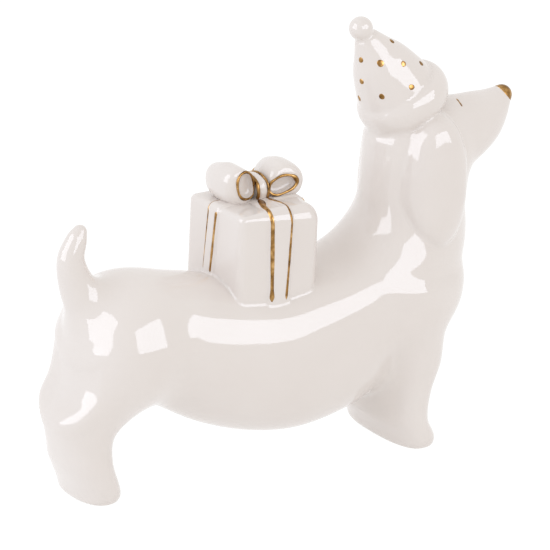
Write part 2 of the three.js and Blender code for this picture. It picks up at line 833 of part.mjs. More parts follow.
// Ribbon on one side of the box, with a line of lustre along each edge, cut clear of the bow
function makeRibbons(body, bow) {
  const room = bow
    .map(([, , solid]) => grown(geometryOf(solid), LUTE_GAP))
    .reduce((sum, s) => sum.add(s));
  const beside = RIBBON_WIDTH / 2 + LUTE_GAP;
  const arms = {
    front: { heading: point(1, 0, 0), start: point(RIBBON_X + beside, RIBBON_Y, 0), lean: 0 },
    rear: {
      heading: point(-1, 0, 0),
      start: point(RIBBON_X - beside, RIBBON_Y, 0),
      lean: -REAR_RIBBON_LEAN,
    },
    left: { heading: point(0, 1, 0), start: point(RIBBON_X, KNOT_FAR_Y, 0), lean: 0 },
    right: { heading: point(0, -1, 0), start: point(RIBBON_X, KNOT_NEAR_Y, 0), lean: 0 },
  };
  const pieces = [];
  for (const [name, { heading, start, lean }] of Object.entries(arms)) {
    const across = point(Math.abs(heading.y), Math.abs(heading.x), 0);
    const arm = (offset, outer, width) => {
      const from = start.clone().addScaledVector(across, offset);
      const to = from.clone().addScaledVector(heading, BOX_SIDE);
      const band = bandPart(LUTE_GAP, outer, from, to, width, lean);
      return largest(band.subtract(body.grown).subtract(room));
    };
    const bandWidth = RIBBON_WIDTH - 2 * (LUSTRE_WIDTH + LUTE_GAP);
    const bandTop = LUTE_GAP + RIBBON_THICKNESS;
    pieces.push([`ribbon_${name}`, "glaze", arm(0, bandTop, bandWidth)]);
    for (const [edge, sign] of [["a", -1], ["b", 1]]) {
      const offset = (sign * (RIBBON_WIDTH - LUSTRE_WIDTH)) / 2;
      const line = arm(offset, LUTE_GAP + LUSTRE_THICKNESS, LUSTRE_WIDTH);
      pieces.push([`lustre_${name}_${edge}`, "lustre", line]);
    }
  }
  return pieces;
}

// Lustre cap over the tip of the nose
function makeNoseCap(body) {
  const [x, z] = MUZZLE_ROWS.at(-1);
  const radius = NOSE_RADIUS + LUTE_GAP + NOSE_CAP_THICKNESS;
  const ball = solidOf(placed(new THREE.SphereGeometry(radius, 18, 12), point(x, 0, z)));
  const side = 4 * radius;
  const block = new THREE.BoxGeometry(side, side, side).translate(NOSE_CAP_START + side / 2, 0, 0);
  const front = placed(block, point(x, 0, z), new THREE.Euler(0, -radians(NOSE_CAP_TILT), 0));
  return largest(ball.intersect(solidOf(front)).subtract(body.grown));
}

// Closed eye: a short lustre line slanting down beside the brow
function makeLash(side) {
  const points = [0, 0.5, 1].map((share) => {
    const [x, y] = LASH_START.map((value, a) => value + share * (LASH_END[a] - value));
    const seat = meet(clay, point(x, side * y, CLEAR_ABOVE), point(0, 0, -1), CLEAR_ABOVE);
    const out = slopeOf(clay, seat.x, seat.y, seat.z).normalize();
    return seat.addScaledVector(out, 2 * LUTE_GAP + LASH_RADIUS);
  });
  return solidOf(roundLine(points, LASH_RADIUS, 6, false));
}

const figurine = new THREE.Group();
function add(name, finish, solid) {
  const look = finish === "glaze" ? WHITE_GLAZE : GOLD_LUSTRE;
  const mesh = new THREE.Mesh(geometryOf(solid), new THREE.MeshStandardMaterial(look));
  mesh.name = name;
  figurine.add(mesh);
}

const body = makeBody();
add("body_casting", "glaze", body.solid);
add("tail", "glaze", makeTail(body));
add("ear_left", "glaze", makeEar(body, 1));
add("ear_right", "glaze", makeEar(body, -1));
add("hat_cone", "glaze", makeHatCone(body));
add("hat_brim", "glaze", largest(brimRoll(0).subtract(body.grown)));
add("pompom", "glaze", makePompom());
add("gift_box", "glaze", largest(boxShape(0).subtract(body.grown)));
const bow = makeBow();
for (const [name, finish, solid] of bow) add(name, finish, solid);
for (const [name, finish, solid] of makeRibbons(body, bow)) add(name, finish, solid);
add("nose_lustre", "lustre", makeNoseCap(body));
add("lash_left", "lustre", makeLash(1));
add("lash_right", "lustre", makeLash(-1));
makeHatDots().forEach((dot, i) => add(`hat_dot_${i + 1}`, "lustre", dot));

// Stand the soles on Z = 0 with the middle of the whole object over the origin
const bounds = new THREE.Box3().setFromObject(figurine);
const middle = bounds.getCenter(point());
for (const mesh of figurine.children) mesh.geometry.translate(-middle.x, -middle.y, -bounds.min.z);

export default figurine;
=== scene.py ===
"""Looks of the glazed dachshund ornament with party hat, gift box and gold lustre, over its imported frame."""
from math import cos, pi, radians, sin

import bpy
import numpy as np
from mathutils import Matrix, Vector


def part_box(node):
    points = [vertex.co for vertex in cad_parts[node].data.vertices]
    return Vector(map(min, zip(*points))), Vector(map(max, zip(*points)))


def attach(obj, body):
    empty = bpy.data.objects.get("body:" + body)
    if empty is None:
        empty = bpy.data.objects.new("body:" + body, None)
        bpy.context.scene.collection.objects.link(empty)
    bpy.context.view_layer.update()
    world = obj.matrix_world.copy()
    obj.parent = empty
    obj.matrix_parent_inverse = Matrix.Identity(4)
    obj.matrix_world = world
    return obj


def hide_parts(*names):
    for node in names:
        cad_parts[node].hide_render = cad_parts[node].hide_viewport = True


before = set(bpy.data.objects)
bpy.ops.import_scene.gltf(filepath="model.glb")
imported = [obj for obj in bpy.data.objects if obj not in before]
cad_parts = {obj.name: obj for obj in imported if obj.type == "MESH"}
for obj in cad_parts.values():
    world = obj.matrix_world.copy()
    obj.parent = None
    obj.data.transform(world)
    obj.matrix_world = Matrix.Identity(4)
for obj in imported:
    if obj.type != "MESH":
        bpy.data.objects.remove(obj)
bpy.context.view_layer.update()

# The figure is worked out in millimetres in the modeller's own frame, as in the part's source, and moved
# to the row frame when it becomes a mesh.
MM = 0.001
SOLE_Z, SOLE_ROUND = -1.8, 1.2

# The casting: each row is [position along the limb, centre, half depth, half width, squareness], and in
# some rows how far the widest line leans off the centre
LEG_BLEND, NECK_BLEND, HEAD_BLEND = 10, 16, 6
TORSO_ROWS = [[-66, 51.2, 20.2, 20, 2], [-50, 49.9, 23.1, 21.6, 2], [-35, 44.5, 25.9, 24.4, 2],
              [-22, 40.1, 26.8, 25.4, 2.2], [-8, 37.2, 27.4, 25.7, 2.4], [5, 37, 28, 25.6, 2.8],
              [20, 39.1, 27.4, 25, 3.2], [38, 44, 26, 23.4, 3.2]]
NECK_ROWS = [[48, 49, 20, 21.8, 1.8, -3], [58, 50, 21.3, 22.1, 1.8, -4], [65, 52.2, 21.6, 22.2, 1.7, -5.5],
             [72, 53.3, 21.2, 20.9, 1.7, -5], [80, 54, 19.4, 20.1, 1.8, -2.5], [87, 54.1, 18.8, 19.3, 2],
             [95, 54.1, 18, 18.2, 2], [103, 54.3, 17.3, 17.5, 2], [112, 54, 16.5, 17, 2]]
FORELEG_ROWS = [[-2, 46.2, 8.6, 23.4, 2.5], [2, 46.2, 8.7, 23.4, 2.5], [8, 44.2, 8.6, 22.5, 2.5],
                [18, 45, 9.2, 22.5, 2.5], [28, 47.3, 11.3, 23.2, 2.4], [38, 47.8, 13.8, 23.2, 2.2],
                [48, 49.3, 18.2, 23.4, 2], [54, 49.6, 19.6, 23, 1.9, -2]]
HINDLEG_ROWS = [[-2, -72.7, 8.2, 15.2, 2.3], [2, -72.7, 8.3, 15.2, 2.3], [12, -75.7, 8.9, 14.8, 2.3],
                [20, -75.8, 10.1, 13.8, 2.3], [27, -73.6, 13.3, 15, 2.3], [33, -72.2, 15.6, 17.5, 2.3],
                [40, -67.8, 14.8, 19, 2.3], [50, -59.6, 16.1, 20.5, 2.3]]
RUMP_MIDDLE, RUMP_HALF = (-61.3, 0, 51.6), (18.2, 24.4, 20.9)
HOCK_DROP = 5
MUZZLE_ROWS = [[58, 100, 17], [66.3, 102, 13.9], [73, 103.6, 12.1], [79, 105.7, 10.1], [84.6, 108.7, 7.1],
               [90.3, 113.1, 3.5]]
TAIL_ROWS = [[-70.5, 64, 8.8], [-76, 73, 6.2], [-78.3, 82, 4.7], [-76.3, 88.5, 3.6], [-74.8, 91.6, 2.4]]

EAR_OUTLINE = [[53, 117], [46.5, 109], [43.4, 98], [42.3, 85], [45.6, 76.6], [54.2, 70.8], [62.6, 74.5],
               [65.8, 88], [64.2, 104], [59.6, 114]]
EAR_THICKNESS = 4.2

HAT_SEAT, HAT_TILT = (47.1, 0, 122.4), 30.5
HAT_ROWS = [[-3, 13.8], [0, 13.7], [5.5, 12.3], [12.5, 9.8], [17.6, 6.9], [24, 3.6]]
HAT_FOOT, HAT_TIP, HAT_TIP_ROUND = -2.8, 24, 1.5
BRIM_SEAT, BRIM_TILT, BRIM_RADIUS, BRIM_BULGE, BRIM_HEIGHT = (50.3, 0, 118.6), 28, 12.6, 3.7, 11.4
POMPOM_RADIUS, POMPOM_LIFT = 4.1, 26.66
# Each dot: [bearing round the hat in degrees, height up its axis]
DOTS = [[-110, 15.7], [-163, 18.2], [-31, 17.2], [-70, 11.1], [-36, 5.2], [-168, 11.6], [-135, 5.9],
        [173, 4.8], [-86, 3.8], [18, 9.6], [58, 15.6], [60, 4.6], [98, 10.4], [118, 17.4], [136, 4.2],
        [130, 11]]

BOX_SIDE, BOX_TOP, BOX_SEAT, BOX_ROUND, BOX_X, BOX_LEAN = 33.5, 91.9, 52, 3.8, -7.5, 0.05
BOX_REAR_CORNER, BOX_NEAR_CORNER, BOX_DRAW, BOX_RIM, BOX_BEAD = 2.6, 5, 0.06, 2.8, 0.9
RIBBON_X, RIBBON_Y, REAR_RIBBON_LEAN, RIBBON_ROUND, RIBBON_BEAD = -7, -0.7, 4.5, 0.9, 1.0
BOW_X, BOW_NEAR_Y, BOW_WIDTH, BOW_PINCH, PINCH_LENGTH, FAR_SHRINK = -6.8, -4.5, 18, 0.4, 4, 0.2
# Each loop of the bow, [x from the knot, height over the box]: what it shrinks towards, the rim of its open
# end, and its fullest section
LOOPS = {
    "rear": {"foot": [-13, 3],
             "eye": [[-10.1, 8.1], [-9.2, 10.4], [-7.2, 11.4], [-5.2, 10.6], [-3.6, 8.2], [-3.2, 5.1],
                     [-3.6, 2.8], [-5.2, 1.9], [-7.8, 2.2], [-9.4, 4]],
             "full": [[-14.6, 7.6], [-13.3, 11], [-10, 13], [-6.6, 12.2], [-3.4, 9.4], [-2.9, 5.5],
                      [-3, 2.2], [-5.4, -0.6], [-10.4, -1], [-13.8, 2.2]]},
    "front": {"foot": [15, 3],
              "eye": [[3.3, 5.3], [4.9, 6.7], [7.2, 7.7], [9.8, 7.6], [11.8, 6.7], [12.7, 4.9], [11.4, 3.2],
                      [8.4, 1.9], [5, 1.3], [3.1, 2.5]],
              "full": [[2.9, 6.4], [4.6, 9.8], [8, 12], [12.8, 11], [16.2, 8.2], [17.1, 4.2], [15.2, 0],
                       [10, -0.8], [5, -0.6], [3, 2]]}}
# Where the brush pressed on a loop's rim or lifted off it: the change of the bead's radius, at what share of
# the turn, and over what share
RIM_STROKES = {"rear": (-0.3, 0.58, 0.1), "front": (0.36, 0.45, 0.1)}
KNOT_WIDTH, KNOT_HEIGHT, KNOT_NEAR_Y, KNOT_FAR_Y = 3.7, 8.2, -4.3, 11
LASH_START, LASH_END = (70.2, 2.8), (69.8, 7.2)
NOSE_CAP_TILT = 42
LUSTRE_LIFT, LUSTRE_ROOT = 0.16, 0.2

# The frame's own gift box gives the move from the modeller's frame to the row frame.
box_reach = BOX_X + BOX_SIDE / 2 - BOX_LEAN * BOX_ROUND
ROW_SHIFT = np.array([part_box("gift_box")[1].x / MM - box_reach, 0, -SOLE_Z])


# ---- Forms as fields: negative inside, about the distance in millimetres outside ----

def through(rows):
    """Smooth values through rows: each span is a cubic whose end slopes are the chords of its neighbours."""
    table = np.array(rows, float)
    at, value = table[:, 0], table[:, 1:]
    index = np.arange(len(at))
    before, after = np.maximum(index - 1, 0), np.minimum(index + 1, len(at) - 1)
    slope = (value[after] - value[before]) / (at[after] - at[before])[:, None]

    def section(position):
        s = np.clip(position, at[0], at[-1])
        i = np.clip(np.searchsorted(at, s) - 1, 0, len(at) - 2)
        span = at[i + 1] - at[i]
        u = (s - at[i]) / span
        v = 1 - u
        columns = []
        for c in range(value.shape[1]):
            here, there = value[i, c], value[i + 1, c]
            start = here + u * (2 * here + span * slope[i, c])
            end = there + v * (2 * there - span * slope[i + 1, c])
            columns.append(v * v * start + u * u * end)
        return columns

    return section


def blend(a, b, width):
    """The nearer of two distances, less a parabola of the given width where they are alike."""
    h = np.maximum(width - np.abs(a - b), 0) / width
    return np.minimum(a, b) - h * h * width / 4


def cut_back(a, b, width):
    """The farther of two distances, with its edge rounded over the given width."""
    return -blend(-a, -b, width)


def rise(value, low, high):
    """Smooth step: t t (3 - 2 t), with t going from 0 at low to 1 at high."""
    t = np.clip((value - low) / (high - low), 0, 1)
    return t * t * (3 - 2 * t)


def oval(u, v, a, b, power):
    """Distance to a superellipse: (its power mean of u/a and v/b, less 1) over that mean's slope."""
    pu, pv = np.abs(u) / a + 1e-9, np.abs(v) / b + 1e-9
    k = (pu ** power + pv ** power) ** (1 / power)
    slope = np.sqrt((pu ** (power - 1) / a) ** 2 + (pv ** (power - 1) / b) ** 2) / k ** (power - 1)
    return (k - 1) / slope


def limb(rows, back_power, round_end):
    """A limb carried along one axis through its rows, its two ends rounded off. A section is two half
    ovals that meet on its widest line, which stands off its centre by the row's lean."""
    section = through([row + [0] * (6 - len(row)) for row in rows])
    low, high = rows[0][0], rows[-1][0]

    def field(along, across, wide):
        centre, half_depth, half_width, power, lean = section(along)
        u = across - centre - lean
        side = oval(u, wide, half_depth - np.sign(u) * lean, half_width, np.where(u > 0, power, back_power))
        return cut_back(side, np.maximum(low - along, along - high), round_end)

    return field


def ball_string(rows, count):
    """Union of balls whose middle x, z and radius run smoothly through the rows."""
    station = through([[i, *row] for i, row in enumerate(rows)])
    stations = list(zip(*station(np.linspace(0, len(rows) - 1, count))))

    def field(x, y, z):
        nearest = np.inf
        for bx, bz, radius in stations:
            nearest = np.minimum(nearest, np.sqrt((x - bx) ** 2 + y * y + (z - bz) ** 2) - radius)
        return nearest

    return field


torso, neck = limb(TORSO_ROWS, 2, 14), limb(NECK_ROWS, 1.8, 8)
forelegs, hindlegs = limb(FORELEG_ROWS, 2.5, 4), limb(HINDLEG_ROWS, 2.3, 4)
muzzle, tail_form = ball_string(MUZZLE_ROWS, 48), ball_string(TAIL_ROWS, 48)


def rump(x, y, z):
    """Egg with three half axes: k (k - 1) / g, with k and g the lengths of p / axis and p / axis squared."""
    u = [(c - m) / h for c, m, h in zip((x, y, z), RUMP_MIDDLE, RUMP_HALF)]
    k = np.sqrt(u[0] ** 2 + u[1] ** 2 + u[2] ** 2) + 1e-9
    g = np.sqrt(sum((c / h) ** 2 for c, h in zip(u, RUMP_HALF))) + 1e-9
    return k * (k - 1) / g


def clay(x, y, z):
    """The dog: torso, rump, neck, leg pairs and head, each run into the rest over its own width. Behind
    and on the near side the hind legs are read from higher up, so that the hock hangs lower there."""
    d = blend(torso(x, z, y), rump(x, y, z), LEG_BLEND)
    d = blend(d, neck(z, x, y), NECK_BLEND)
    d = blend(d, forelegs(z, x, y), LEG_BLEND)
    near_hock = np.maximum(1 - (y / 17) ** 4, 0) * rise(-y, -14, -3) * rise(-x, 68, 78) * rise(z, 8, 24)
    d = blend(d, hindlegs(z + HOCK_DROP * near_hock, x, y), LEG_BLEND)
    return blend(d, muzzle(x, y, z), HEAD_BLEND)


def body_form(x, y, z):
    """The dog stood on its soles, whose rim is rounded as a sponged foot is."""
    return cut_back(clay(x, y, z), SOLE_Z - z, SOLE_ROUND)


def luted(own, host, bead, root):
    """A casting stuck on its host: run into the host's skin over a bead of slip, then a thin skirt just
    under that skin, and cut off at the depth of its root."""
    sink = 0.008 + 0.03 * np.maximum(own - bead, 0)
    joined = blend(own, host + sink, bead)
    return np.maximum(np.maximum(joined, own - bead - 1.5), -host - root)


def centripetal_loop(points, count):
    """Closed centripetal Catmull-Rom curve: cubics whose knots are spaced by the root of the chord."""
    p1 = np.array(points, float)
    p0, p2, p3 = np.roll(p1, 1, 0), np.roll(p1, -1, 0), np.roll(p1, -2, 0)
    d0, d1, d2 = [np.sqrt(np.linalg.norm(b - a, axis=1))[:, None] for a, b in ((p0, p1), (p1, p2), (p2, p3))]
    start = ((p1 - p0) / d0 - (p2 - p0) / (d0 + d1) + (p2 - p1) / d1) * d1
    end = ((p2 - p1) / d1 - (p3 - p1) / (d1 + d2) + (p3 - p2) / d2) * d1
    t = np.arange(count) * len(p1) / count
    i, u = t.astype(int), (t % 1)[:, None]
    square, cube = -3 * p1 + 3 * p2 - 2 * start - end, 2 * p1 - 2 * p2 + start + end
    return p1[i] + start[i] * u + square[i] * u ** 2 + cube[i] * u ** 3


ear_outline = centripetal_loop(EAR_OUTLINE, 240)
ear_middle = ear_outline[::6].mean(0)
ear_arm = ear_outline - ear_middle
ear_turn = np.arctan2(ear_arm[:, 1], ear_arm[:, 0])
ear_reach = np.linalg.norm(ear_arm, axis=1)


def ear_form(x, y, z, side):
    """Flap laid on the head: height over the skin squared plus the cube of the share of the outline is 1."""
    height = clay(x, y, z)
    turn = np.arctan2(z - ear_middle[1], x - ear_middle[0])
    reach = np.interp(turn, ear_turn, ear_reach, period=2 * pi)
    share = np.hypot(x - ear_middle[0], z - ear_middle[1]) / reach
    over = np.maximum(height, 0)
    k = np.sqrt((over / EAR_THICKNESS) ** 2 + share ** 3) + 1e-6
    slope = np.sqrt((over / EAR_THICKNESS ** 2) ** 2 + (1.5 * share ** 2 / reach) ** 2) / k
    flap = (k - 1) / np.maximum(slope, 0.1)
    return np.maximum(flap, 3 - side * y), height


def hat_frame(seat, tilt):
    """Turns a place into (distance from the leaning axis, height along it)."""
    s, c = sin(radians(tilt)), cos(radians(tilt))

    def place(x, y, z):
        dx, dz = x - seat[0], z - seat[2]
        along = -s * dx + c * dz
        return np.sqrt((c * dx + s * dz) ** 2 + y * y), along

    return place


in_hat, in_brim = hat_frame(HAT_SEAT, HAT_TILT), hat_frame(BRIM_SEAT, BRIM_TILT)
hat_radius = through(HAT_ROWS)


def cone_form(x, y, z):
    """Cone turned round its axis through the hat's rows, cut at its foot and rounded at its tip."""
    out, height = in_hat(x, y, z)
    radius = hat_radius(height)[0]
    slope = hat_radius(height + 0.5)[0] - hat_radius(height - 0.5)[0]
    side = (out - radius) / np.sqrt(1 + slope ** 2)
    return cut_back(side, np.maximum(HAT_FOOT - height, height - HAT_TIP), HAT_TIP_ROUND)


def brim_form(x, y, z):
    """Fat roll: half an ellipse turned round the leaning axis, solid inside it."""
    out, height = in_brim(x, y, z)
    u, v = np.maximum(out - BRIM_RADIUS, 0) / BRIM_BULGE, height / (BRIM_HEIGHT / 2)
    k = np.sqrt(u * u + v * v) + 1e-6
    return (k - 1) * k / np.sqrt((u / BRIM_BULGE) ** 2 + (v / (BRIM_HEIGHT / 2)) ** 2 + 1e-9)


def pompom_form(x, y, z):
    """Ball on the hat's axis."""
    out, height = in_hat(x, y, z)
    return np.sqrt(out ** 2 + (height - POMPOM_LIFT) ** 2) - POMPOM_RADIUS


def box_form(x, y, z):
    """Leaning box: a square with round corners, its rear wall drawn in by the near corner and its top rim
    rounded more towards the front near corner."""
    half, tall = BOX_SIDE / 2, (BOX_TOP - BOX_SEAT) / 2
    bx = x - BOX_X - BOX_LEAN * (z - BOX_TOP)
    bx = bx - np.minimum(bx, 0) / half * (y - half) * BOX_DRAW
    corner = np.where(bx < 0, BOX_REAR_CORNER, np.where(y < 0, BOX_NEAR_CORNER, BOX_ROUND))
    qx, qy = np.abs(bx) - half + corner, np.abs(y) - half + corner
    side = np.hypot(np.maximum(qx, 0), np.maximum(qy, 0)) + np.minimum(np.maximum(qx, qy), 0) - corner
    rim = np.clip(BOX_RIM + (2.6 * bx - 1.2 * y) / half, 2, 6.4)
    ex, ez = side + rim, np.abs(z - BOX_TOP + tall) - tall + rim
    return np.hypot(np.maximum(ex, 0), np.maximum(ez, 0)) + np.minimum(np.maximum(ex, ez), 0) - rim


def glazed_box(x, y, z):
    """The box with the bead of glaze round its foot."""
    return blend(box_form(x, y, z), clay(x, y, z), BOX_BEAD)


# The ribbon's four arms: the way each runs from the knot, how far it stands over the box, and its two edges
RIBBON_ARMS = {"front": (1, 0), "rear": (-1, 0), "left": (0, 1), "right": (0, -1)}
RIBBON_RAISED = {"front": 0.72, "rear": 0.72, "left": 0.8, "right": 0.8}
RIBBON_EDGES = {"front": (-4.05, 4.05), "rear": (-1.9, 4.05), "left": (-4.05, 4.05), "right": (-4.05, 4.05)}


def ribbon_form(x, y, z, arm):
    """Band over the box: the box's skin moved out, kept between the ribbon's edges and beside the knot."""
    hx, hy = RIBBON_ARMS[arm]
    lean = BOX_LEAN * (z - BOX_TOP)
    drop = np.tan(radians(REAR_RIBBON_LEAN)) * (z - BOX_TOP) if arm == "rear" else 0 * z
    across = x - RIBBON_X - lean if hx == 0 else y - RIBBON_Y + drop
    along = hx * (x - RIBBON_X - lean) + hy * (y - RIBBON_Y)
    start = 2.55 if hx else 0
    low, high = RIBBON_EDGES[arm]
    raised = box_form(x, y, z) - RIBBON_RAISED[arm]
    band = cut_back(raised, np.abs(across - (low + high) / 2) - (high - low) / 2, RIBBON_ROUND)
    return np.maximum(band, start - along)


# ---- Skins of the fields ----

def slope_of(field, p):
    """Gradient by differences of a fiftieth of a millimetre either side."""
    e = 0.02
    steps = np.eye(3) * e
    return np.stack([(field(*(p + s).T) - field(*(p - s).T)) / (2 * e) for s in steps], 1)


def settle(field, p, passes, reach=1.0):
    """Newton steps along the gradient onto the field's skin, each at most reach long."""
    for _ in range(passes):
        slope = slope_of(field, p)
        step = -field(*p.T)[:, None] * slope / (np.sum(slope ** 2, 1)[:, None] + 1e-9)
        length = np.linalg.norm(step, axis=1)[:, None]
        p = p + step * np.minimum(1, reach / (length + 1e-9))
    return p


def skin(field, low, high, cell):
    """Quads over a field: a corner at the mean of the crossed edges of each grid cell, four cells joined
    round each crossed edge, then the corners evened out along the skin and settled onto it."""
    axes = [np.arange(a, b + cell, cell) for a, b in zip(low, high)]
    value = field(axes[0][:, None, None], axes[1][None, :, None], axes[2][None, None, :])
    inside = value < 0
    step = np.array([value.shape[1] * value.shape[2], value.shape[2], 1])
    hits, cells = [], []
    for axis in range(3):
        lower = [slice(None)] * 3
        upper = [slice(None)] * 3
        lower[axis], upper[axis] = slice(0, -1), slice(1, None)
        at = np.argwhere(inside[tuple(lower)] != inside[tuple(upper)])
        here = value[tuple(at.T)]
        beyond = at.copy()
        beyond[:, axis] += 1
        there = value[tuple(beyond.T)]
        hit = at.astype(float)
        hit[:, axis] += here / (here - there)
        node = at @ step
        u, v = step[(axis + 1) % 3], step[(axis + 2) % 3]
        around = np.stack([node - u - v, node - v, node, node - u], 1)
        cells.append(np.where((here < 0)[:, None], around, around[:, ::-1]))
        hits.append(np.repeat(hit[:, None], 4, 1))
    cells, hits = np.concatenate(cells), np.concatenate(hits).reshape(-1, 3)
    _, faces = np.unique(cells.ravel(), return_inverse=True)
    count = np.bincount(faces)[:, None]
    p = np.stack([np.bincount(faces, hits[:, a]) for a in range(3)], 1) / count * cell + np.array(low)
    faces = faces.reshape(-1, 4)
    start, end = faces.ravel(), np.roll(faces, -1, 1).ravel()
    links = np.bincount(start)[:, None]
    for _ in range(4):
        mean = np.stack([np.bincount(start, p[end, a]) for a in range(3)], 1) / links
        p = settle(field, (p + mean) / 2, 1, cell / 2)
    return settle(field, p, 2, cell / 2), faces


# ---- Meshes ----

def shown(name, corners, faces, material, slot, node):
    """Makes a smooth piece from corners in the modeller's frame, facing outwards, in place of its node."""
    mesh = bpy.data.meshes.new(name)
    mesh.from_pydata(((corners + ROW_SHIFT) * MM).tolist(), [], faces)
    mesh.validate()
    mesh.calc_loop_triangles()
    co = np.empty(len(mesh.vertices) * 3, np.float32)
    mesh.vertices.foreach_get("co", co)
    tri = np.empty(len(mesh.loop_triangles) * 3, np.int32)
    mesh.loop_triangles.foreach_get("vertices", tri)
    a, b, c = (co.reshape(-1, 3).astype(float)[tri.reshape(-1, 3)[:, k]] for k in range(3))
    if np.sum(a * np.cross(b, c)) < 0:
        mesh.flip_normals()
    mesh.shade_smooth()
    mesh.materials.append(material)
    obj = bpy.data.objects.new(name, mesh)
    bpy.context.scene.collection.objects.link(obj)
    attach(obj, "root")
    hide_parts(node)


def over_rings(rings, closed=False):
    """Quads over rings[station, round, xyz]; open ends close in a fan round their middle point."""
    count, sides = rings.shape[:2]
    stations = np.arange(count if closed else count - 1)
    i, j = [g.ravel() for g in np.meshgrid(stations, np.arange(sides), indexing="ij")]
    near, far, turn = i * sides, (i + 1) % count * sides, (j + 1) % sides
    faces = np.stack([near + j, near + turn, far + turn, far + j], 1).tolist()
    corners = rings.reshape(-1, 3)
    if closed:
        return corners, faces
    corners = np.concatenate([corners, rings[[0, -1]].mean(1)])
    j = np.arange(sides)
    turn = (j + 1) % sides
    first, last = np.full(sides, count * sides), np.full(sides, count * sides + 1)
    end = (count - 1) * sides
    faces += np.stack([turn, j, first], 1).tolist() + np.stack([end + j, end + turn, last], 1).tolist()
    return corners, faces


def unit(v):
    """Vectors divided by their lengths."""
    return v / (np.linalg.norm(v, axis=-1, keepdims=True) + 1e-12)


def lustre_line(path, half_width, field, lift=LUSTRE_LIFT):
    """Brushed line: across a path on the skin, points are drawn onto the skin, then lifted by half an
    ellipse above it and sunk by a fifth of a millimetre under it."""
    out = unit(slope_of(field, path))
    side = unit(np.cross(out, np.gradient(path, axis=0)))
    share = np.sin(np.linspace(-pi / 2, pi / 2, 9))
    spread = path[:, None] + side[:, None] * half_width[:, None, None] * share[None, :, None]
    seat = settle(field, spread.reshape(-1, 3), 2)
    normal = unit(slope_of(field, seat)).reshape(spread.shape)
    seat = seat.reshape(spread.shape)
    crown = lift * np.sqrt(1 - share ** 2) * np.minimum(half_width / 0.5, 1)[:, None]
    top = seat + normal * crown[:, :, None]
    under = (seat - normal * LUSTRE_ROOT)[:, ::-1]
    return over_rings(np.concatenate([top, under], 1))


def lustre_bead(path, radius, closed=False):
    """Round bead along a path, its radius given at each point; open ends taper to a dome."""
    ahead = unit((np.roll(path, -1, 0) - np.roll(path, 1, 0)) if closed else np.gradient(path, axis=0))
    side = unit(np.cross(ahead, np.array([0.03, 1, 0.05])))
    lift = np.cross(side, ahead)
    turn = np.linspace(0, 2 * pi, 12, endpoint=False)
    ring = side[:, None] * np.cos(turn)[None, :, None] + lift[:, None] * np.sin(turn)[None, :, None]
    return over_rings(path[:, None] + ring * radius[:, None, None], closed)


def brush(count, width, seed):
    """Half widths of a hand-painted line: waves of three lengths, and both ends drawn to a point."""
    s = np.linspace(0, 1, count)
    phase = np.random.default_rng(seed).uniform(0, 2 * pi, 3)
    wavy = sum(np.sin(2 * pi * f * s + q) / f for f, q in zip((1.3, 3.1, 7.3), phase))
    ends = np.sqrt(np.clip(np.minimum(s, 1 - s) * count / 3, 0.02, 1))
    return width * (1 + 0.14 * wavy) * ends


# ---- Materials ----

def linear(value):
    """sRGB hex to linear RGBA."""
    srgb = np.array([(value >> shift & 255) / 255 for shift in (16, 8, 0)])
    return (*np.where(srgb <= 0.04045, srgb / 12.92, ((srgb + 0.055) / 1.055) ** 2.4).tolist(), 1)


def add(tree, kind, inputs=(), **settings):
    """Adds a node with its settings, and sets or links its inputs."""
    node = tree.nodes.new(kind)
    for key, value in settings.items():
        setattr(node, key, value)
    for key, value in dict(inputs).items():
        if isinstance(value, bpy.types.NodeSocket):
            tree.links.new(value, node.inputs[key])
        else:
            node.inputs[key].default_value = value
    return node


def new_material(name):
    """An empty node material and its tree."""
    material = bpy.data.materials.new(name)
    material.use_nodes = True
    material.node_tree.nodes.clear()
    return material, material.node_tree


